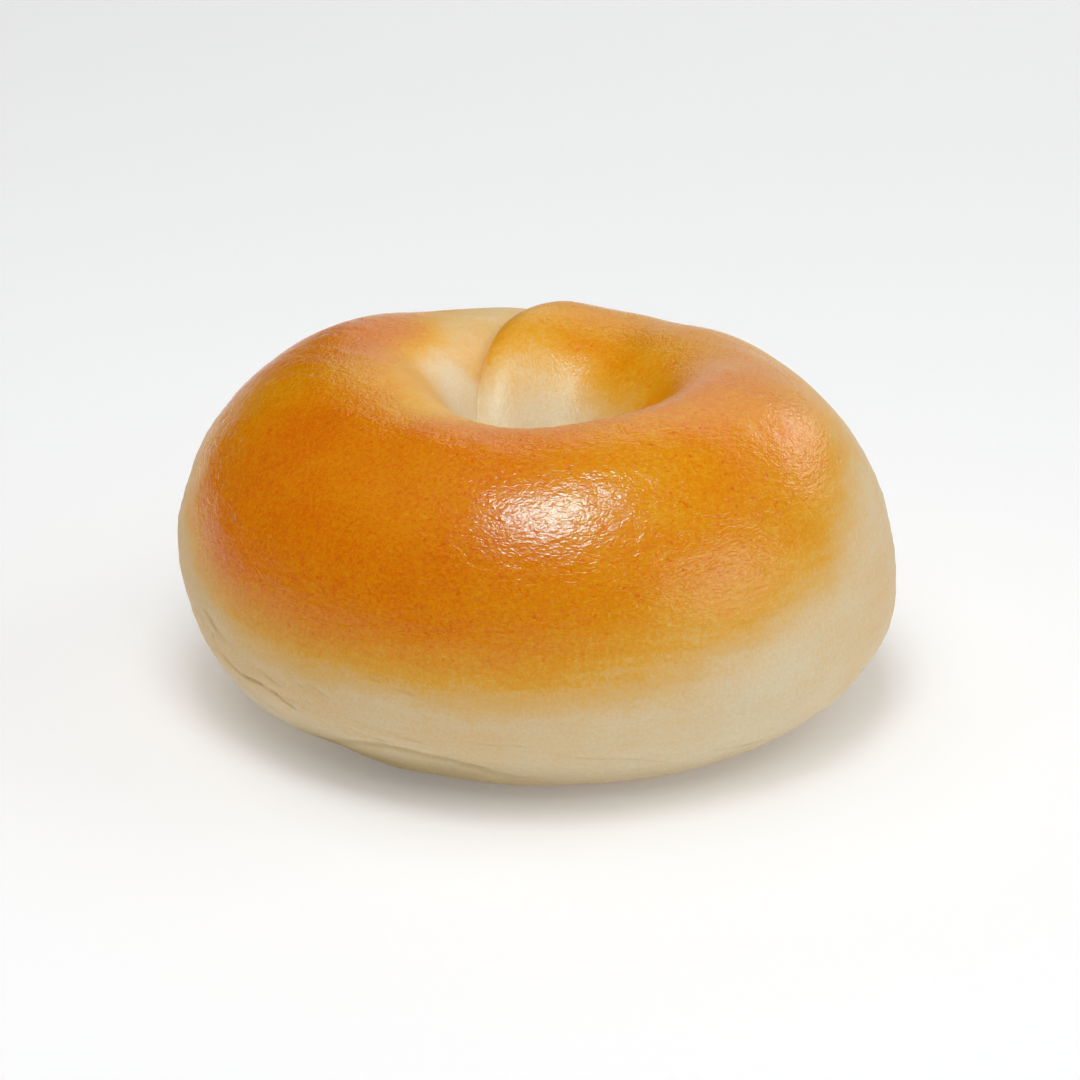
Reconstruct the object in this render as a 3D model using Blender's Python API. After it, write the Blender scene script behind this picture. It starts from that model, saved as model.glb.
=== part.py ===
"""A plain bagel, hand-rolled: a rope of dough bent into a ring, the flap of one end wrapped over the other.

Metres, +Z up. The origin is on the floor under the middle of the bagel's box. The join is at the back, +Y.
"""

import math

import bmesh
import bpy
import numpy as np
from mathutils import Color

# The rope's even section: radii from the ring's axis, heights above the floor, and how square its curves are.
SECTION = {
    "reach": 0.0493,          # radius of the outer belly
    "belly_height": 0.0205,   # height of the outer belly
    "crest_radius": 0.0290,   # radius of the top
    "crest_height": 0.0470,   # height of the top
    "throat_radius": 0.0100,  # radius of the hole at its narrowest
    "throat_height": 0.0200,  # height of that narrowest place
    "foot_radius": 0.0345,    # outer edge of the flat foot
    "foot_inner": 0.0140,     # inner edge of the flat foot
    "foot_rise": 0.0020,      # height of the crease between the foot and the body
    "foot_overhang": 0.0006,  # how far the body stands out over the foot
    "shoulder_power": 2.15,   # superellipse power from the belly up to the top
    "slope_power": 2.0,       # superellipse power from the top into the hole
    "under_power": 1.9,       # superellipse power from the belly down to the foot
}

# Where the ring is uneven: direction and spread in degrees, and what it adds to the section there.
FRONT, RIGHT, BACK, LEFT = -90, 0, 90, 180
SWELLS = (
    (FRONT + 30, 50, {"crest_height": 0.0016}),
    (FRONT - 25, 35, {"crest_height": -0.0005, "crest_radius": 0.0008}),
    (FRONT - 43, 24, {"foot_rise": 0.0010, "foot_overhang": -0.0006, "foot_radius": 0.0016}),
    (RIGHT - 30, 35, {"crest_height": 0.0010, "crest_radius": -0.0034}),
    (RIGHT, 45, {"reach": 0.0004, "belly_height": -0.0045, "under_power": -0.1}),
    (RIGHT, 45, {"throat_radius": 0.0015, "foot_overhang": 0.0006}),
    (RIGHT + 35, 30, {"reach": -0.0020, "shoulder_power": -0.40}),
    (RIGHT + 50, 35, {"reach": -0.0022, "crest_height": -0.0015}),
    (BACK - 24, 16, {"crest_height": -0.0009}),
    (BACK, 45, {"crest_height": -0.0020}),
    (BACK + 20, 15, {"crest_height": -0.0007}),
    (LEFT - 40, 30, {"reach": 0.0003}),
    (LEFT, 45, {"reach": 0.0022, "belly_height": 0.0018, "under_power": 0.30, "throat_radius": -0.0010}),
    (LEFT + 22, 30, {"crest_height": 0.0004, "crest_radius": -0.0072}),
)

# The join at the back, where the flap lies over the covered end. It slants across the rope.
SEAM_OUTER, SEAM_INNER = 60, 156  # its direction in degrees at the outer belly and in the hole
TIP_ROUNDING = 0.18       # share of the way into the hole over which the flap's tip is rounded
FLAP_RISE = 0.0015        # height of the flap over the rope
LIP_WIDTH = 0.0050        # width of the flap's rounded edge
FLAP_LENGTH = 0.0170      # length along the rope over which the flap sinks back into it
CREASE_DEPTH = 0.0010     # how far the crease between the two ends is drawn in
CREASE_WIDTH = 0.0022     # how far the crease spreads over the covered end
VALLEY_DEPTH = 0.0014     # hollow of the covered end beside the crease, on the hole's side
VALLEY_LENGTH = 0.0110    # how far that hollow runs along the rope
VALLEY_STARTS, VALLEY_FULL = 0.4, 0.8  # shares of the way into the hole
FLAT_BELOW = 0.0080       # under this height the join fades, pressed flat by the bagel's weight

FOOT_BULGE = 0.0005       # how far the foot's side bulges
COLUMNS = 104             # sections round the ring
CROWDING = 0.85           # how strongly they crowd towards the join, where 1 is the most
SHARP_EDGE = 50           # degrees between faces that are shaded as an edge
QUARTER = math.pi / 2


def smooth(t):
    """0 below 0, 1 above 1, and a smooth step between."""
    t = np.clip(t, 0, 1)
    return t * t * (3 - 2 * t)


def size_at(name, angle):
    """One size of the section, at angles round the ring in degrees."""
    size = np.full_like(angle, SECTION[name])
    for direction, spread, change in SWELLS:
        away = np.radians(angle - direction)
        size += change.get(name, 0) * np.exp((np.cos(away) - 1) / math.radians(spread) ** 2)
    return size


def quarter(upright, level, power, turn):
    """Radius and height on a superellipse quarter: upright where the turn is 0, level at a quarter turn."""
    across, up = np.cos(turn) ** (2 / power), np.sin(turn) ** (2 / power)
    return level[0] + (upright[0] - level[0]) * across, upright[1] + (level[1] - upright[1]) * up


def shoulder(s, share):
    """From the outer belly up to the top."""
    belly, top = (s["reach"], s["belly_height"]), (s["crest_radius"], s["crest_height"])
    return quarter(belly, top, s["shoulder_power"], share * QUARTER)


def slope(s, share):
    """From the top down to the hole's narrowest place."""
    narrow, top = (s["throat_radius"], s["throat_height"]), (s["crest_radius"], s["crest_height"])
    return quarter(narrow, top, s["slope_power"], (1 - share) * QUARTER)


def throat(s, share):
    """From the hole's narrowest place down to the floor."""
    return quarter((s["throat_radius"], s["throat_height"]), (s["foot_inner"], 0), 2, share * QUARTER)


def base(s, share):
    """Across the floor."""
    return s["foot_inner"] + (s["foot_radius"] - s["foot_inner"]) * share, 0 * s["foot_rise"]


def foot(s, share):
    """Up the foot's slightly bulging side."""
    return s["foot_radius"] + FOOT_BULGE * np.sin(math.pi * share), s["foot_rise"] * share


def under(s, share):
    """From the crease over the foot up to the outer belly."""
    belly, crease = (s["reach"], s["belly_height"]), (s["foot_radius"] + s["foot_overhang"], s["foot_rise"])
    return quarter(belly, crease, s["under_power"], (1 - share) * QUARTER)


SECTION_PARTS = ((shoulder, 13), (slope, 13), (throat, 6), (base, 2), (foot, 2), (under, 9))
ROWS = sum(rows for _, rows in SECTION_PARTS)
OVER_ROWS = SECTION_PARTS[0][1] + SECTION_PARTS[1][1]


def plain_ring(angle):
    """Radius and height of the ring without its join, for angles with a line for each section."""
    radius, height = np.zeros_like(angle), np.zeros_like(angle)
    first = 0
    for part, rows in SECTION_PARTS:
        place = np.s_[:, first : first + rows]
        sizes = {name: size_at(name, angle[place]) for name in SECTION}
        radius[place], height[place] = part(sizes, np.arange(rows) / rows)
        first += rows
    return radius, height


def join_relief(past, before, inward):
    """How far the join raises the surface, at distances along the rope past the seam and before it."""
    edge = 1 - np.clip(past / LIP_WIDTH, 0, 1)
    lip = np.sqrt(1 - edge**2)
    valley = VALLEY_DEPTH * smooth((inward - VALLEY_STARTS) / (VALLEY_FULL - VALLEY_STARTS))
    sinking = smooth((past - LIP_WIDTH) / FLAP_LENGTH)
    flap = FLAP_RISE * lip * (1 - sinking) - (CREASE_DEPTH + valley) * (1 - lip)
    crease = CREASE_DEPTH * np.exp(-before / CREASE_WIDTH)
    hollow = valley * np.exp(-((before / VALLEY_LENGTH) ** 2))
    return np.where(past < before, flap, -crease - hollow)


def way_inward():
    """For each place on the section, how far it is from the flap's tip, 0, towards the hole, 1."""
    share = np.interp(np.arange(ROWS), (0, OVER_ROWS, ROWS), (0, 1, 0))
    rounded = np.hypot(share, TIP_ROUNDING) - TIP_ROUNDING
    return rounded / rounded.max()


def ring_points():
    """The ring's points: a line for each section, from the seam clockwise, and a row for each place on it."""
    inward = way_inward()
    turn = np.arange(COLUMNS)[:, None] / COLUMNS
    crowded = turn - CROWDING / (2 * math.pi) * np.sin(2 * math.pi * turn)
    past = np.repeat(360 * crowded, ROWS, axis=1)
    angle = SEAM_OUTER + (SEAM_INNER - SEAM_OUTER) * inward - past
    radius, height = plain_ring(angle)

    lift = join_relief(np.radians(past) * radius, np.radians(360 - past) * radius, inward)
    lift *= smooth(height / FLAT_BELOW)
    outward = radius - size_at("crest_radius", angle)
    upward = height - size_at("crest_height", angle) / 2
    length = np.hypot(outward, upward)
    radius += lift * outward / length
    height += lift * upward / length

    turned = np.radians(angle)
    points = np.stack([radius * np.cos(turned), radius * np.sin(turned), height], axis=-1)
    points[..., :2] -= (points[..., :2].max(axis=(0, 1)) + points[..., :2].min(axis=(0, 1))) / 2
    return points


def bagel():
    """The bagel as one closed solid, with a band of faces from each section to the next."""
    bm = bmesh.new()
    sections = [[bm.verts.new(point) for point in section] for section in ring_points()]
    for section, after in zip(sections, sections[1:] + sections[:1]):
        for row in range(ROWS):
            up = (row + 1) % ROWS
            bm.faces.new((section[row], section[up], after[up], after[row]))
    mesh = bpy.data.meshes.new("bagel")
    bm.to_mesh(mesh)
    bm.free()
    mesh.shade_smooth()
    mesh.set_sharp_from_angle(angle=math.radians(SHARP_EDGE))
    obj = bpy.data.objects.new("bagel", mesh)
    bpy.context.scene.collection.objects.link(obj)
    return obj


def crust_material():
    """Golden-brown boiled and baked crust, slightly glossy."""
    material = bpy.data.materials.new("crust")
    material.use_nodes = True
    shader = material.node_tree.nodes["Principled BSDF"]
    colour = Color((0.80, 0.48, 0.06)).from_srgb_to_scene_linear()
    shader.inputs["Base Color"].default_value = (*colour, 1)
    shader.inputs["Roughness"].default_value = 0.4
    shader.inputs["Metallic"].default_value = 0
    return material


def main():
    for obj in list(bpy.data.objects):
        bpy.data.objects.remove(obj)
    bagel().data.materials.append(crust_material())


main()
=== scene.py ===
import math

import bmesh
import bpy
import numpy as np
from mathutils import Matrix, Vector
from mathutils.bvhtree import BVHTree
from mathutils.kdtree import KDTree


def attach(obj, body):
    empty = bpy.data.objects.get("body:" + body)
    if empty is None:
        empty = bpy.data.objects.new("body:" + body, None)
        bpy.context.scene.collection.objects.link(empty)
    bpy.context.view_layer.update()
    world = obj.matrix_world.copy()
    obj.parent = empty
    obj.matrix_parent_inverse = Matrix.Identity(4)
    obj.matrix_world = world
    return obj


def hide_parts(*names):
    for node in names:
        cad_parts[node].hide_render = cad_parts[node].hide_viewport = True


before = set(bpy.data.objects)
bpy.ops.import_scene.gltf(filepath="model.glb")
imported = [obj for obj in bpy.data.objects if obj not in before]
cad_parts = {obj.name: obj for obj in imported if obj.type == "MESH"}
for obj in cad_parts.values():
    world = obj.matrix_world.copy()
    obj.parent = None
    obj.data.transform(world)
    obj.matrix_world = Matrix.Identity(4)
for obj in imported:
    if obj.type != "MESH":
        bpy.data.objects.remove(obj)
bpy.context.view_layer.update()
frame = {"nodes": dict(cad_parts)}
print("frame loaded:", ", ".join(frame["nodes"]))

# a direction is in degrees round the bagel, with the front at -90 and the right at 0
# an angle round the rope is 0 at the outer belly, 90 on top and 180 in the hole
crust = {
    "subdivisions": 2,
    "joinAngle": 50,  # an edge that folds by more degrees than this is the join's
    "joinSharpness": 0.15,
    "ropeRadius": 0.0295,  # the middle line of the dough rope
    "ropeHeight": 0.0210,
    # how the oven browned it, by direction: (the flank's tone, pale up to, brown from, how brown,
    # brown up to, paler from, how brown inside), where the places are angles round the rope.
    # On the left, from -168 to -139, the browner levels are partly painted shade
    "browning": {
        -178: (0.24, 22, 60, 0.76, 88, 124, 0.42),
        # rows -168 to -139 are browner partly as painted shade: the left flank is darker where less light
        # falls
        -168: (0.22, 6, 48, 0.93, 86, 122, 0.42),
        -158: (0.18, -3, 34, 1.12, 86, 120, 0.42),
        -149: (0.14, -14, 27, 1.12, 86, 119, 0.42),
        -139: (0.12, -18, 25, 1.06, 84, 115, 0.40),
        -129: (0.12, -18, 25, 1.01, 86, 114, 0.40),
        -118: (0.13, -18, 28, 1.00, 94, 120, 0.34),
        -109: (0.13, -18, 27, 0.99, 92, 118, 0.34),
        -99: (0.12, -19, 24, 0.99, 90, 118, 0.38),
        -90: (0.12, -19, 24, 0.96, 88, 118, 0.44),
        -80: (0.09, -19, 30, 0.87, 86, 120, 0.48),
        -70: (0.04, -22, 42, 0.80, 98, 126, 0.50),
        -60: (0.01, -17, 50, 0.82, 102, 130, 0.52),
        -48: (0.01, -12, 54, 0.86, 104, 132, 0.56),
        -42: (0.04, -5, 60, 0.85, 104, 134, 0.54),
        -36: (0.08, 5, 70, 0.86, 112, 142, 0.48),
        -30: (0.12, 10, 82, 0.87, 114, 144, 0.45),
        -24: (0.13, 26, 92, 0.89, 118, 146, 0.42),
        -17: (0.14, 34, 94, 0.88, 118, 142, 0.32),
        -6: (0.14, 40, 92, 0.82, 118, 142, 0.30),
        12: (0.12, 60, 92, 0.76, 116, 144, 0.26),
        40: (0.10, 66, 90, 0.72, 116, 146, 0.26),
        60: (0.10, 60, 88, 0.70, 112, 142, 0.16),
        75: (0.10, 50, 84, 0.68, 106, 138, 0.10),
        90: (0.10, 40, 76, 0.60, 100, 138, 0.08),
        110: (0.10, 24, 60, 0.56, 104, 146, 0.06),
        130: (0.10, 14, 44, 0.88, 97, 120, -0.06),
        140: (0.10, 12, 44, 0.99, 95, 123, 0.00),
        150: (0.11, 12, 46, 0.94, 98, 129, 0.06),
        161: (0.18, 12, 56, 1.02, 94, 129, 0.16),
        172: (0.24, 16, 60, 0.78, 104, 130, 0.28),
    },
    "blur": 9,  # every row is blurred by this many degrees both ways
    "inside": (94, 118),  # between these angles the wall of the hole is painted lighter, a painted light for the light that gets through
    "throat": (128, 152, -0.06),  # between these it pales to this tone, deep in the hole: partly its paler dough and partly painted light, lighter than the flank's dough
    "paleAboveFoot": (-22, -44, 0.10),  # the flank pales between these angles, by this much
    "footBand": (-44, -60),  # the foot turns darker between these, partly its browned tan and partly painted shade on the underside
    "footEdge": (-35, -53),  # and its very edge gets a painted shadow, darker again, between these
    "footTone": {  # how much, by direction: (the foot's tan and painted shade, its edge's painted shadow)
        -160: (0.5, 0.0),
        -146: (0.7, 0.0),
        -134: (0.8, 0.8),
        -112: (0.4, 0.8),
        -94: (0.1, 0.45),
        -70: (0.10, 0.15),
        -30: (0.25, 0.15),
        90: (0.7, 0.4),
    },
    "underside": (0.0016, 0.0001, 0.75),  # below the first height it browns, to this tone at the second
    # where the join runs, by angle round the rope: its direction
    "join": {-140: 126, -74: 100, -38: 69, 0: 59, 22: 62, 45: 71, 90: 96.6, 135: 123, 180: 148.5},
    "joinBlend": (-1.5, 1.0),  # how its two sides meet, in degrees past it
    "paleBesideJoin": (12, 36, 0.24),  # the covered end stays this pale to here, and is brown from here
    # creases and dents: (width, depth, [(direction, angle round the rope), ...])
    "marks": (
        # folds at the far left
        (0.00042, 0.00022, [(-157.5, -4.5), (-155.5, -6.5), (-153, -9), (-150, -12)]),
        (0.00050, 0.00022, [(-159.5, -11.5), (-158.5, -13.5)]),
        (0.00038, 0.00016, [(-155.5, -20.5), (-152.5, -22.5), (-149, -24.5), (-147, -25.2)]),
        (0.00055, 0.00034, [(-147.5, -25), (-145, -25.2), (-142, -24.8), (-140.8, -25.2)]),
        (0.00045, 0.00026, [(-140.5, -25), (-138, -26), (-135.5, -29), (-133.2, -31.8)]),
        # short creases along the left and the front
        (0.00036, 0.00014, [(-140.5, -16.5), (-138.5, -18.2), (-136, -19.5)]),
        (0.00040, 0.00015, [(-129, -13.5), (-127, -15.2), (-125, -16.8)]),
        (0.00040, 0.00012, [(-117, -2), (-115, -3.5)]),
        (0.00040, 0.00012, [(-113, -4.5), (-110.5, -5.6), (-108.5, -6.6)]),
        (0.00036, 0.00010, [(-124, -27), (-121, -29), (-118.5, -30), (-115.5, -31)]),
        (0.00036, 0.00010, [(-113.5, -28.5), (-110.5, -29.8), (-107.5, -31.5)]),
        (0.00036, 0.00009, [(-99.5, -27), (-96.5, -27.2), (-93.5, -26), (-91.5, -27)]),
        # the fold over the foot, and the faint ones beside it
        (0.00110, 0.00022, [(-131, -49.5), (-126, -44), (-122, -40), (-116, -36.5), (-111, -38),
                            (-105, -40), (-100, -43), (-97, -46), (-92, -49)]),
        (0.00045, 0.00010, [(-86, -32), (-80, -34.5), (-75, -36), (-68, -41)]),
        (0.00045, 0.00010, [(-60, -38), (-52, -41), (-46, -40)]),
        (0.00040, 0.00012, [(-150, -33), (-144, -36), (-138, -39), (-132, -43)]),
        # pinholes and dents
        (0.00026, 0.00030, [(-116.5, -33.5)]),
        (0.00024, 0.00026, [(-115.3, -35)]),
        (0.00070, 0.00022, [(-154.5, -14)]),
        (0.00075, 0.00022, [(-151.5, 37)]),
        (0.00075, 0.00026, [(-179, 87.5)]),
        (0.00080, 0.00020, [(-11, 78)]),
        (0.00070, 0.00018, [(-21, 53)]),
    ),
    "refineWithin": (0.0018, 0.0010),  # the skin is made finer this close to a crease, and finer again
    # where the dough swells past its even section: (direction, angle round the rope, how far it
    # reaches both ways in degrees, how high)
    "swells": (
        (5, 62, 16, 26, -0.0004),
        (44, 78, 20, 22, 0.0009),
        (74, 74, 8, 20, -0.0005),
        (138, 70, 20, 26, 0.0007),
        (-136, -62, 26, 22, 0.0006),
        (-62, -62, 16, 18, 0.0004),
        (-176, 6, 12, 16, 0.0003),
        (-145, -44, 12, 14, 0.0002),
        (-134, -52, 7, 10, -0.0005),
        (-94, -62, 28, 14, 0.0007),
    ),
    # where a wall leans into the hole: (direction, angle round the rope, how far it reaches both
    # ways round the ring, up the wall and down the wall, how much)
    "leans": ((20, 118, 44, 30, 56, 0.0046),),
    # the relief, where a fade is (from this browning, to this one, share there, share there)
    "lumpHeight": 0.00026,
    "lumpSize": 0.0150,
    "skinHeight": 0.00011,
    "skinSize": 0.0028,
    "skinStretch": 1.25,  # how far it is drawn out along the rope
    "skinFade": (0.4, 0.95, 0.35, 1.0),
    "wrinkleHeight": 0.00022,
    "wrinkleSize": 0.0065,
    "wrinkleFlatness": 4.5,
    "wrinkleFade": (0.1, 0.9, 1.0, 0.25),
    "wrinklesEnd": (0.028, 0.040),  # they die out between these heights
    "smoothFoot": 0.0025,  # below this height the relief dies out
    "dimplesPerSquareMetre": 9000,
    "dimpleWidth": 0.0010,
    "dimpleDepth": 0.00012,
    "dimpleFade": (0.3, 0.9, 0.1, 1.0),
    "seed": 7,
    # the crust's own colour, linear, by how brown it is
    "colours": {
        # the palest tone, lighter than the flank's dough, is partly painted light deep in the hole
        -0.15: (0.790, 0.690, 0.500),
        0.00: (0.720, 0.590, 0.380),
        0.25: (0.720, 0.456, 0.160),
        0.50: (0.725, 0.350, 0.018),
        0.75: (0.715, 0.268, 0.000),
        1.00: (0.700, 0.200, 0.000),
        1.25: (0.665, 0.135, 0.000),
    },
    # what mottles the browning: (size, roughness, how warped, how strong, how far it is drawn out
    # along the rope or None, its fades)
    "mottles": {
        "clouds": (0.011, 0.62, 0.0, 0.46, None, [(0.0, 0.5, 0.35, 1.0)]),
        "streaks": (0.0024, 0.65, 0.0, 0.38, 4.5, [(-0.1, 0.4, 0.35, 1.0), (1.3, 0.5, 0.2, 1.0)]),
        "grain": (0.00055, 0.92, 0.3, 1.6, None, [(0.2, 0.9, 0.30, 1.0)]),
    },
    "fleckSize": 0.0010,
    "fleckRange": (0.66, 0.76, 0.0, 0.34),  # how much of its noise makes flecks, and how brown they are
    "fleckFade": (0.3, 0.8),
    # the foot's colour is partly its browned tan and partly painted shade where the underside faces the
    # table
    "footTanAndShadeColour": (0.54, 0.39, 0.165),
    "footTanAndShadeShare": 0.75,
    # a painted shadow along the foot's very edge, where it meets the table
    "footEdgeShadowColour": (0.36, 0.25, 0.085),
    # the creases get a painted shadow, a dark olive
    "creaseShadowColour": (0.40, 0.28, 0.09),
    "creaseShadowShare": 0.60,
    "creaseFull": 0.00026,  # a crease this deep gets its painted shadow in full
    # painted light: how much lighter the wall of the hole is made
    "paintedHoleLight": 0.12,
    # the bump of the skin: (size, roughness, how warped, share)
    "leather": (0.0012, 0.55, 0.7, 0.6),
    "worms": (0.0007, 0.5, 0.6, 0.5),
    "fine": (0.0004, 0.6, 0.3, 0.10),
    "bumpFade": (0.2, 0.9, 0.55, 1.0),
    "bumpDepth": 0.00030,
    "roughness": (0.1, 0.9, 0.46, 0.21),  # it falls from 0.46 to 0.21 as the crust browns
    "roughnessSwing": 0.10,
}


def addNode(tree, kind, inputs=None, **settings):
    node = tree.nodes.new(kind)
    perRow, across, down = 12, 190, -260  # so that the tree can be read in the node editor
    count = len(tree.nodes)
    node.location = (across * (count % perRow), down * (count // perRow))
    for name, value in settings.items():
        setattr(node, name, value)
    for key, value in (inputs or {}).items():
        if isinstance(value, bpy.types.NodeSocket):
            tree.links.new(value, node.inputs[key])
        else:
            node.inputs[key].default_value = value
    return node


def calc(tree, operation, a, b=0.0, clamp=False):
    return addNode(tree, "ShaderNodeMath", {0: a, 1: b}, operation=operation, use_clamp=clamp).outputs[0]


def centred(tree, value, strength):
    # a noise runs from 0 to 1, so half is taken off and it swings both ways
    return calc(tree, "MULTIPLY", calc(tree, "SUBTRACT", value, 0.5), strength)


def remap(tree, value, low, high, newLow=0.0, newHigh=1.0, kind="SMOOTHSTEP"):
    inputs = {"Value": value, "From Min": low, "From Max": high, "To Min": newLow, "To Max": newHigh}
    return addNode(tree, "ShaderNodeMapRange", inputs, interpolation_type=kind).outputs["Result"]


def noise(tree, place, size, detail=2.0, roughness=0.5, distortion=0.0):
    place, fourth = place if isinstance(place, tuple) else (place, None)
    inputs = {"Vector": place, "Detail": detail, "Roughness": roughness, "Distortion": distortion}
    if fourth:
        inputs["W"] = fourth
    inputs["Scale"] = calc(tree, "DIVIDE", 1.0, size) if isinstance(size, bpy.types.NodeSocket) else 1 / size
    return addNode(tree, "ShaderNodeTexNoise", inputs, noise_dimensions="4D" if fourth else "3D").outputs[0]


def alongTheRope(tree, place, stretch):
    # a place drawn out round the ring, so that what grows on it is longer along the rope than across:
    # where it is round the ring and how far out, as a vector, and how high, as the fourth number
    x, y, z = addNode(tree, "ShaderNodeSeparateXYZ", {0: place}).outputs
    squares = calc(tree, "ADD", calc(tree, "MULTIPLY", x, x), calc(tree, "MULTIPLY", y, y))
    ring = calc(tree, "SQRT", squares)
    radius = crust["ropeRadius"] / stretch
    drawn = addNode(tree, "ShaderNodeCombineXYZ", {
        0: calc(tree, "MULTIPLY", calc(tree, "DIVIDE", x, ring), radius),
        1: calc(tree, "MULTIPLY", calc(tree, "DIVIDE", y, ring), radius),
        2: ring}).outputs[0]
    return drawn, z


def attributeOf(tree, name):
    return addNode(tree, "GeometryNodeInputNamedAttribute", {"Name": name}, data_type="FLOAT").outputs[0]


def smoothStep(low, high, value):
    t = np.clip((value - low) / (high - low), 0, 1)
    return t * t * (3 - 2 * t)


def bakeModifiers(piece):
    bpy.context.view_layer.update()
    made = bpy.data.meshes.new_from_object(piece.evaluated_get(bpy.context.evaluated_depsgraph_get()))
    piece.modifiers.clear()
    piece.data = made
    made.name = piece.name


def makeDough(node):
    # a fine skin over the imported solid, still smooth and even
    dough = bpy.data.objects.new("bagelCrust", node.data.copy())
    bpy.context.scene.collection.objects.link(dough)
    skin = bmesh.new()
    skin.from_mesh(dough.data)
    bmesh.ops.remove_doubles(skin, verts=skin.verts, dist=1e-6)
    bmesh.ops.join_triangles(skin, faces=skin.faces, angle_face_threshold=math.pi,
                             angle_shape_threshold=math.pi)
    crease = skin.edges.layers.float.new("crease_edge")
    for edge in skin.edges:
        if len(edge.link_faces) == 2 and edge.calc_face_angle() > math.radians(crust["joinAngle"]):
            edge[crease] = crust["joinSharpness"]
    skin.to_mesh(dough.data)
    skin.free()
    dough.data.materials.clear()
    for name in [a.name for a in dough.data.attributes if a.name.startswith("custom_normal")]:
        dough.data.attributes.remove(dough.data.attributes[name])
    finer = dough.modifiers.new("finer", "SUBSURF")
    finer.levels = finer.render_levels = crust["subdivisions"]
    bakeModifiers(dough)
    return dough


def pointsOf(mesh):
    points = np.empty(len(mesh.vertices) * 3)
    mesh.vertices.foreach_get("co", points)
    return points.reshape(-1, 3)


def aroundTheRope(points):
    ring = np.hypot(points[:, 0], points[:, 1])
    direction = np.degrees(np.arctan2(points[:, 1], points[:, 0]))
    turn = np.degrees(np.arctan2(points[:, 2] - crust["ropeHeight"], ring - crust["ropeRadius"]))
    return direction, turn


def angleFrom(start, angle):
    return (angle - start + 180) % 360 - 180


def swellDough(dough):
    mesh = dough.data
    points = pointsOf(mesh)
    outward = np.empty(len(mesh.vertices) * 3, dtype=np.float32)
    mesh.vertex_normals.foreach_get("vector", outward)
    outward = outward.reshape(-1, 3)
    direction, turn = aroundTheRope(points)
    for towards, angle, reach, spread, height in crust["swells"]:
        across = angleFrom(towards, direction) / reach
        around = angleFrom(angle, turn) / spread
        points = points + outward * (height * np.exp(-across ** 2 - around ** 2))[:, None]
    for towards, angle, reach, upwards, downwards, far in crust["leans"]:
        across = angleFrom(towards, direction) / reach
        around = angleFrom(angle, turn)
        around = np.where(around < 0, around / upwards, around / downwards)
        inward = far * np.exp(-across ** 2 - around ** 2)
        points[:, 0] -= inward * math.cos(math.radians(towards))
        points[:, 1] -= inward * math.sin(math.radians(towards))
    points[:, 2] = np.maximum(points[:, 2], 0)
    mesh.vertices.foreach_set("co", points.reshape(-1))
    mesh.update()


def layMarks(dough):
    # the creases as rows of spots on the dough, deepest halfway and thin at their ends
    steps, thinnest, fullness = 24, 0.04, 0.6
    tree = BVHTree.FromObject(dough, bpy.context.evaluated_depsgraph_get())
    spots, widths, depths = [], [], []
    for width, depth, path in crust["marks"]:
        count = steps * (len(path) - 1) + 1
        along = np.linspace(0, len(path) - 1, count)
        directions = np.radians(np.interp(along, range(len(path)), [p[0] for p in path]))
        turns = np.radians(np.interp(along, range(len(path)), [p[1] for p in path]))
        for share, direction, turn in zip(np.linspace(0, 1, count), directions, turns):
            outward = Vector((math.cos(direction), math.sin(direction), 0))
            core = outward * crust["ropeRadius"] + Vector((0, 0, crust["ropeHeight"]))
            aim = outward * math.cos(turn) + Vector((0, 0, math.sin(turn)))
            inPath = min(max(share, thinnest), 1 - thinnest)
            spots.append(tree.ray_cast(core, aim)[0])
            widths.append(width)
            depths.append(depth * (1 if count == 1 else math.sin(math.pi * inPath) ** fullness))
    marks = bpy.data.objects.new("marks", bpy.data.meshes.new("marks"))
    marks.data.from_pydata(spots, [], [])
    for name, values in (("width", widths), ("depth", depths)):
        marks.data.attributes.new(name, "FLOAT", "POINT").data.foreach_set("value", values)
    bpy.context.scene.collection.objects.link(marks)
    return marks


def refineNearMarks(dough, marks):
    near = KDTree(len(marks.data.vertices))
    for index, vertex in enumerate(marks.data.vertices):
        near.insert(vertex.co, index)
    near.balance()
    skin = bmesh.new()
    skin.from_mesh(dough.data)
    for reach in crust["refineWithin"]:
        chosen = [face for face in skin.faces if near.find(face.calc_center_median())[2] < reach]
        edges = {edge for face in chosen for edge in face.edges}
        bmesh.ops.subdivide_edges(skin, edges=list(edges), cuts=1, use_grid_fill=True)
    skin.to_mesh(dough.data)
    skin.free()


def byDirection(table, column, direction):
    keys = sorted(table)
    values = [table[key][column] for key in keys]
    shifts = np.linspace(-crust["blur"], crust["blur"], 4)
    return sum(np.interp(direction + shift, keys, values, period=360) for shift in shifts) / len(shifts)


def paleBesideJoin(baked, direction, over):
    angles = sorted(crust["join"])
    join = np.interp(np.where(over > 180, over - 360, over), angles, [crust["join"][a] for a in angles])
    behind = angleFrom(join, direction)  # degrees past the join, on the covered end
    pale, brown, tone = crust["paleBesideJoin"]
    covered = smoothStep(*crust["joinBlend"], behind) * (1 - smoothStep(pale, brown, behind))
    return baked + (np.minimum(tone, baked) - baked) * covered


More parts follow.
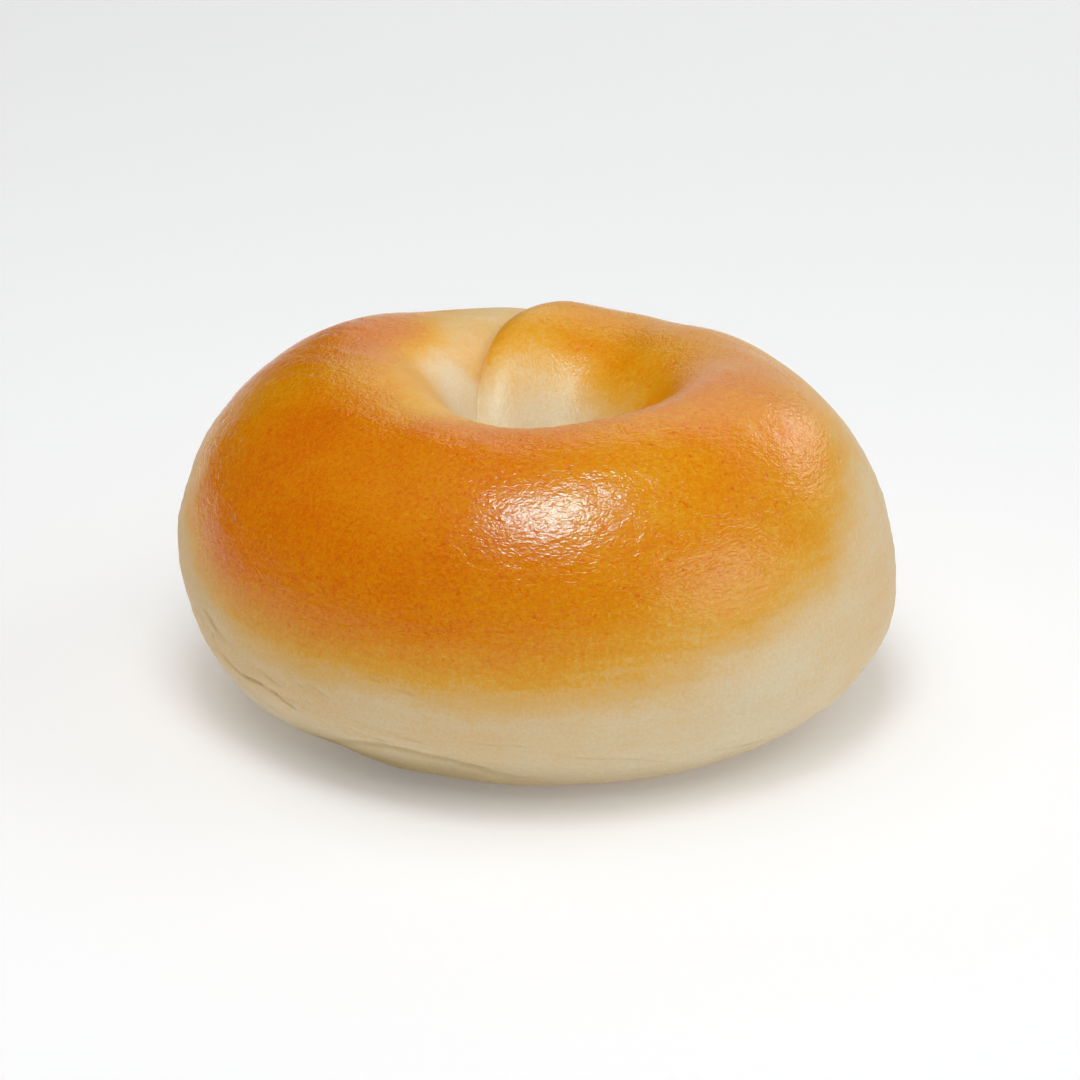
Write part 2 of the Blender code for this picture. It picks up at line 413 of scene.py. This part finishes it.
def paintBrowning(dough):
    points = pointsOf(dough.data)
    direction, turn = aroundTheRope(points)
    over = np.where(turn < -120, turn + 360, turn)  # it grows from the foot, over the top, down the hole
    flank, low, full, top, until, paler, inHole = (
        byDirection(crust["browning"], column, direction) for column in range(7))
    baked = flank + (top - flank) * smoothStep(low, full, over)
    baked += (inHole - baked) * smoothStep(until, paler, over)
    # the throat is partly paler dough and partly painted light
    start, end, deep = crust["throat"]
    baked += (deep - baked) * smoothStep(start, end, over) * (over > until)
    baked = paleBesideJoin(baked, direction, over)
    start, end, amount = crust["paleAboveFoot"]
    baked -= amount * smoothStep(start, end, turn)
    start, end, tone = crust["underside"]
    baked = np.maximum(baked, tone * smoothStep(start, end, points[:, 2]))
    # the inside share is where painted light falls on the hole's wall
    painted = {"browning": baked, "inside": smoothStep(*crust["inside"], over)}
    # the foot's band is partly browned tan and partly painted shade, and its edge gets a painted shadow
    for column, (name, band) in enumerate((("foot", "footBand"), ("footEdge", "footEdge"))):
        painted[name] = byDirection(crust["footTone"], column, direction) * smoothStep(*crust[band], turn)
    for name, values in painted.items():
        attribute = dough.data.attributes.new(name, "FLOAT", "POINT")
        attribute.data.foreach_set("value", values.astype(np.float32))


def startRelief():
    tree = bpy.data.node_groups.new("bagelRelief", "GeometryNodeTree")
    tree.is_modifier = True
    kinds = {"Dough": "Geometry", "Marks": "Object", "Seed": "Int"}
    sockets = {}
    for name in ("Dough", "Marks", "Lump Height", "Lump Size", "Skin Height", "Skin Size",
                 "Wrinkle Height", "Wrinkle Size", "Wrinkle Flatness", "Dimples", "Dimple Width",
                 "Dimple Depth", "Seed"):
        kind = "NodeSocket" + kinds.get(name, "Float")
        sockets[name] = tree.interface.new_socket(name, in_out="INPUT", socket_type=kind).identifier
    tree.interface.new_socket("Crust", in_out="OUTPUT", socket_type="NodeSocketGeometry")
    return tree, sockets


def raisedSkin(tree, given, place, browning):
    perSeed, swing = 0.37, 3.0  # how far a seed moves the noises, and what lifts one to its full height

    def relief(value, height):
        return centred(tree, value, calc(tree, "MULTIPLY", height, swing))

    x, y, z = addNode(tree, "ShaderNodeSeparateXYZ", {0: place}).outputs
    shifted = addNode(tree, "ShaderNodeVectorMath", {
        0: place, 1: calc(tree, "MULTIPLY", given["Seed"], perSeed)}, operation="ADD").outputs[0]
    # broad lumps, and the finer unevenness of the skin
    lumps = relief(noise(tree, shifted, given["Lump Size"], detail=1.0), given["Lump Height"])
    drawn = alongTheRope(tree, shifted, crust["skinStretch"])
    skin = relief(noise(tree, drawn, given["Skin Size"], roughness=0.55, distortion=0.6),
                  given["Skin Height"])
    skin = calc(tree, "MULTIPLY", skin, remap(tree, browning, *crust["skinFade"]))
    # long flat wrinkles along the pale flank
    squeezed = addNode(tree, "ShaderNodeCombineXYZ", {
        0: x, 1: y, 2: calc(tree, "MULTIPLY", z, given["Wrinkle Flatness"])}).outputs[0]
    folds = relief(noise(tree, squeezed, given["Wrinkle Size"], roughness=0.55, distortion=0.3),
                   given["Wrinkle Height"])
    onFlank = calc(tree, "MULTIPLY", remap(tree, browning, *crust["wrinkleFade"]),
                   remap(tree, z, *crust["wrinklesEnd"], 1.0, 0.0))
    folds = calc(tree, "MULTIPLY", folds, onFlank)
    raised = calc(tree, "ADD", calc(tree, "ADD", lumps, skin), folds)
    return calc(tree, "MULTIPLY", raised, remap(tree, z, 0.0, crust["smoothFoot"]))


def markedDepth(tree, given, place):
    laid = addNode(tree, "GeometryNodeObjectInfo", {"Object": given["Marks"]}).outputs["Geometry"]
    nearest = addNode(tree, "GeometryNodeSampleNearest", {"Geometry": laid, "Sample Position": place},
                      domain="POINT").outputs[0]

    def ofNearest(value, kind="FLOAT"):
        return addNode(tree, "GeometryNodeSampleIndex", {"Geometry": laid, "Value": value, "Index": nearest},
                       data_type=kind, domain="POINT").outputs[0]

    away = addNode(tree, "ShaderNodeVectorMath", {0: place, 1: ofNearest(place, "FLOAT_VECTOR")},
                   operation="DISTANCE").outputs["Value"]
    share = calc(tree, "DIVIDE", away, ofNearest(attributeOf(tree, "width")))
    return calc(tree, "MULTIPLY", remap(tree, share, 1.0, 0.0), ofNearest(attributeOf(tree, "depth")))


def dimpledDepth(tree, given, browning):
    # little dimples scattered over the browned part
    density = calc(tree, "MULTIPLY", given["Dimples"], remap(tree, browning, *crust["dimpleFade"]))
    scattered = addNode(tree, "GeometryNodeDistributePointsOnFaces", {
        "Mesh": given["Dough"], "Density": density, "Seed": given["Seed"]},
        distribute_method="RANDOM").outputs[0]
    away = addNode(tree, "GeometryNodeProximity", {"Geometry": scattered},
                   target_element="POINTS").outputs["Distance"]
    return calc(tree, "MULTIPLY", remap(tree, away, given["Dimple Width"], 0.0), given["Dimple Depth"])


def reliefTree(material):
    tree, sockets = startRelief()
    given = addNode(tree, "NodeGroupInput").outputs
    place = addNode(tree, "GeometryNodeInputPosition").outputs[0]
    normal = addNode(tree, "GeometryNodeInputNormal").outputs[0]
    browning = attributeOf(tree, "browning")
    marked = markedDepth(tree, given, place)
    height = calc(tree, "SUBTRACT", raisedSkin(tree, given, place, browning), marked)
    height = calc(tree, "SUBTRACT", height, dimpledDepth(tree, given, browning))
    offset = addNode(tree, "ShaderNodeVectorMath", {0: normal, "Scale": height},
                     operation="SCALE").outputs[0]
    moved = addNode(tree, "GeometryNodeSetPosition", {
        "Geometry": given["Dough"], "Offset": offset}).outputs[0]
    # how much painted shadow each place gets, from how deep its crease is
    shaded = calc(tree, "DIVIDE", marked, crust["creaseFull"], clamp=True)
    named = addNode(tree, "GeometryNodeStoreNamedAttribute", {
        "Geometry": moved, "Name": "crease", "Value": shaded}, data_type="FLOAT", domain="POINT").outputs[0]
    smooth = addNode(tree, "GeometryNodeSetShadeSmooth", {"Geometry": named}).outputs[0]
    real = addNode(tree, "GeometryNodeRealizeInstances", {"Geometry": smooth}).outputs[0]
    covered = addNode(tree, "GeometryNodeSetMaterial", {"Geometry": real, "Material": material}).outputs[0]
    addNode(tree, "NodeGroupOutput", {0: covered})
    return tree, sockets


def mottled(tree, browning, place):
    # the browning, with clouds, streaks, grain and flecks in it
    baked = browning
    for size, roughness, warped, strength, stretch, fades in crust["mottles"].values():
        where = alongTheRope(tree, place, stretch) if stretch else place
        amount = centred(tree, noise(tree, where, size, 3.0, roughness, warped), strength)
        for fade in fades:
            amount = calc(tree, "MULTIPLY", amount, remap(tree, browning, *fade))
        baked = calc(tree, "ADD", baked, amount)
    flecks = remap(tree, noise(tree, place, crust["fleckSize"], detail=1.0), *crust["fleckRange"])
    flecks = calc(tree, "MULTIPLY", flecks, remap(tree, browning, *crust["fleckFade"]))
    return calc(tree, "ADD", baked, flecks)


def bakedColour(tree, baked):
    levels = sorted(crust["colours"])
    palest, darkest = levels[0], levels[-1]
    ramp = addNode(tree, "ShaderNodeValToRGB", {0: remap(tree, baked, palest, darkest, kind="LINEAR")})
    ramp.color_ramp.interpolation = "LINEAR"
    for index, level in enumerate(levels):
        at = (level - palest) / (darkest - palest)
        stop = ramp.color_ramp.elements[index] if index < 2 else ramp.color_ramp.elements.new(at)
        stop.position = at
        stop.color = (*crust["colours"][level], 1)
    return ramp.outputs[0]


def mixed(tree, share, colour, other):
    inputs = {0: share, 6: colour, 7: (*other, 1)}
    return addNode(tree, "ShaderNodeMix", inputs, data_type="RGBA").outputs[2]


def skinBump(tree, browning, place):
    # wormy, leathery relief that is finer than the mesh, and its finest noise by itself
    drawn = alongTheRope(tree, place, crust["skinStretch"])
    size, roughness, warped, leatherShare = crust["leather"]
    leather = noise(tree, drawn, size, 2.0, roughness, warped)
    size, roughness, warped, wormShare = crust["worms"]
    worms = calc(tree, "ABSOLUTE", centred(tree, noise(tree, drawn, size, 1.0, roughness, warped), 1.0))
    size, roughness, warped, fineShare = crust["fine"]
    fine = noise(tree, place, size, 2.0, roughness, warped)
    height = calc(tree, "ADD", calc(tree, "MULTIPLY", leather, leatherShare),
                  calc(tree, "MULTIPLY", worms, wormShare))
    height = calc(tree, "ADD", height, calc(tree, "MULTIPLY", fine, fineShare))
    height = calc(tree, "MULTIPLY", height, remap(tree, browning, *crust["bumpFade"]))
    bump = addNode(tree, "ShaderNodeBump", {
        "Height": height, "Distance": crust["bumpDepth"], "Strength": 1.0}).outputs[0]
    return bump, fine


def crustMaterial():
    material = bpy.data.materials.new("bakedCrust")
    material.use_nodes = True
    tree = material.node_tree
    tree.nodes.clear()
    place = addNode(tree, "ShaderNodeTexCoord").outputs["Object"]
    browning, crease, foot, footEdge, inside = (
        addNode(tree, "ShaderNodeAttribute", attribute_name=name).outputs["Fac"]
        for name in ("browning", "crease", "foot", "footEdge", "inside"))
    colour = bakedColour(tree, mottled(tree, browning, place))
    # the foot is a duller olive, partly its browned tan and partly painted shade; the hole's wall is painted
    # lighter, a painted light; and the creases get a painted shadow
    # partly browned tan, partly painted shade on the foot
    colour = mixed(tree, calc(tree, "MULTIPLY", foot, crust["footTanAndShadeShare"]), colour, crust["footTanAndShadeColour"])
    # painted shadow along the foot's very edge
    colour = mixed(tree, footEdge, colour, crust["footEdgeShadowColour"])
    # painted light on the wall of the hole
    lighter = calc(tree, "ADD", 1.0, calc(tree, "MULTIPLY", inside, crust["paintedHoleLight"]))
    colour = addNode(tree, "ShaderNodeVectorMath", {0: colour, "Scale": lighter},
                     operation="SCALE").outputs[0]
    # painted shadow in the creases
    colour = mixed(tree, calc(tree, "MULTIPLY", crease, crust["creaseShadowShare"]), colour,
                   crust["creaseShadowColour"])
    bump, fine = skinBump(tree, browning, place)
    rough = calc(tree, "ADD", remap(tree, browning, *crust["roughness"]),
                 centred(tree, fine, crust["roughnessSwing"]))
    skin = addNode(tree, "ShaderNodeBsdfPrincipled", {
        "Base Color": colour, "Roughness": rough, "IOR": 1.37, "Normal": bump,
        "Subsurface Weight": 0.10, "Subsurface Radius": (1.0, 0.45, 0.20), "Subsurface Scale": 0.0018})
    addNode(tree, "ShaderNodeOutputMaterial", {0: skin.outputs[0]})
    return material


def bakeBagel():
    dough = makeDough(frame["nodes"]["bagel"])
    swellDough(dough)
    marks = layMarks(dough)
    refineNearMarks(dough, marks)
    paintBrowning(dough)
    tree, sockets = reliefTree(crustMaterial())
    relief = dough.modifiers.new("relief", "NODES")
    relief.node_group = tree
    values = {
        "Marks": marks,
        "Lump Height": crust["lumpHeight"],
        "Lump Size": crust["lumpSize"],
        "Skin Height": crust["skinHeight"],
        "Skin Size": crust["skinSize"],
        "Wrinkle Height": crust["wrinkleHeight"],
        "Wrinkle Size": crust["wrinkleSize"],
        "Wrinkle Flatness": crust["wrinkleFlatness"],
        "Dimples": float(crust["dimplesPerSquareMetre"]),
        "Dimple Width": crust["dimpleWidth"],
        "Dimple Depth": crust["dimpleDepth"],
        "Seed": crust["seed"],
    }
    for name, value in values.items():
        relief[sockets[name]] = value
    bakeModifiers(dough)
    bpy.data.objects.remove(marks)
    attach(dough, "root")
    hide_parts("bagel")
    return dough


bagel = bakeBagel()
print("bagel baked:", len(bagel.data.polygons), "faces")

studio = {
    "world": 0.23,
    # softboxes and cards: (width, height, where, how bright, colour, lights the crust, shows in the gloss)
    "lights": {
        "overheadSoftbox": (0.19, 0.19, (0.0, -0.17, 0.50), 7.0, (0.98, 1.0, 1.02), True, False),
        "glossSpot": (0.20, 0.20, (0.010, -0.228, 0.49), 30.0, (0.42, 0.95, 1.06), False, True),
        "backCard": (0.45, 0.34, (0.12, 0.55, 0.17), 0.55, (1, 1, 1), True, True),
        "rightWindow": (0.70, 0.36, (0.82, -0.50, 0.25), 4.2, (0.8, 0.95, 1), False, True),
        "farWindow": (0.60, 0.26, (0.72, 0.60, 0.42), 4.0, (1, 1, 1), False, True),
        "backWindow": (0.90, 0.30, (0.30, 0.66, 0.62), 1.6, (1, 0.93, 0.80), False, True),
        "rightCard": (0.60, 0.50, (0.85, -0.40, 0.24), 1.2, (1, 1, 1), True, False),
        "rightFill": (0.70, 0.60, (0.90, 0.10, 0.70), 1.4, (1, 1, 1), True, False),
        "leftFill": (0.60, 0.50, (-0.85, 0.70, 0.50), 0.4, (1, 1, 1), True, False),
        "highLeftFill": (0.70, 0.70, (-0.22, 0.12, 0.96), 1.35, (1, 1, 1), True, False),
        "highFill": (1.00, 0.60, (0.0, -0.80, 1.00), 1.9, (1, 1, 1), True, False),
    },
    "aim": (0, 0, 0.025),  # they all face the middle of the bagel
    "tableReach": 3.0,  # from the middle to each side
    "tableColour": (0.82, 0.82, 0.82, 1),
    "tableGlow": 0.18,  # it is lit from below a little, as a light table is
}


def setLights():
    for name, (width, height, place, strength, colour, onCrust, inGloss) in studio["lights"].items():
        data = bpy.data.lights.new(name, "AREA")
        data.shape, data.size, data.size_y = "RECTANGLE", width, height
        data.energy = strength * math.pi * width * height  # so that strength is how bright it looks
        data.color = colour
        light = bpy.data.objects.new(name, data)
        light.location = place
        aim = Vector(studio["aim"]) - Vector(place)
        light.rotation_euler = aim.to_track_quat("-Z", "Y").to_euler()
        light.visible_diffuse = light.visible_transmission = onCrust
        light.visible_glossy = inGloss
        light.visible_camera = False
        bpy.context.scene.collection.objects.link(light)


def setTable():
    side = studio["tableReach"]
    floor = bpy.data.objects.new("studioFloor", bpy.data.meshes.new("studioFloor"))
    floor.data.from_pydata([(-side, -side, 0), (side, -side, 0), (side, side, 0), (-side, side, 0)],
                           [], [(0, 1, 2, 3)])
    pale = bpy.data.materials.new("paleFloor")
    pale.use_nodes = True
    surface = pale.node_tree.nodes["Principled BSDF"]
    surface.inputs["Base Color"].default_value = studio["tableColour"]
    surface.inputs["Emission Color"].default_value = (1, 1, 1, 1)
    surface.inputs["Emission Strength"].default_value = studio["tableGlow"]
    surface.inputs["Roughness"].default_value = 0.9
    surface.inputs["Specular IOR Level"].default_value = 0.1
    floor.data.materials.append(pale)
    bpy.context.scene.collection.objects.link(floor)


def setStudio():
    world = bpy.data.worlds.new("studio")
    world.use_nodes = True
    world.node_tree.nodes["Background"].inputs["Color"].default_value = (1, 1, 1, 1)
    world.node_tree.nodes["Background"].inputs["Strength"].default_value = studio["world"]
    bpy.context.scene.world = world
    world.cycles_visibility.glossy = False  # it fills the shadows and keeps out of the gloss
    setLights()
    setTable()


setStudio()
print("studio set:", ", ".join(studio["lights"]))

shot = {
    "target": (0.0003, 0.0, 0.0213),
    "distance": 0.6,
    "elevation": 23,  # degrees above the table
    "lens": 143.4,
}


def placeCamera():
    tilt = math.radians(shot["elevation"])
    back = Vector((0, -math.cos(tilt), math.sin(tilt)))
    camera = bpy.data.objects.new("camera", bpy.data.cameras.new("camera"))
    camera.data.lens = shot["lens"]
    camera.data.sensor_width = 36
    camera.data.clip_start = 0.01
    camera.location = Vector(shot["target"]) + back * shot["distance"]
    camera.rotation_euler = (-back).to_track_quat("-Z", "Y").to_euler()
    bpy.context.scene.collection.objects.link(camera)
    bpy.context.scene.camera = camera


placeCamera()
bpy.context.scene.view_settings.view_transform = "Standard"
bpy.context.scene.view_settings.look = "None"
print("camera placed")
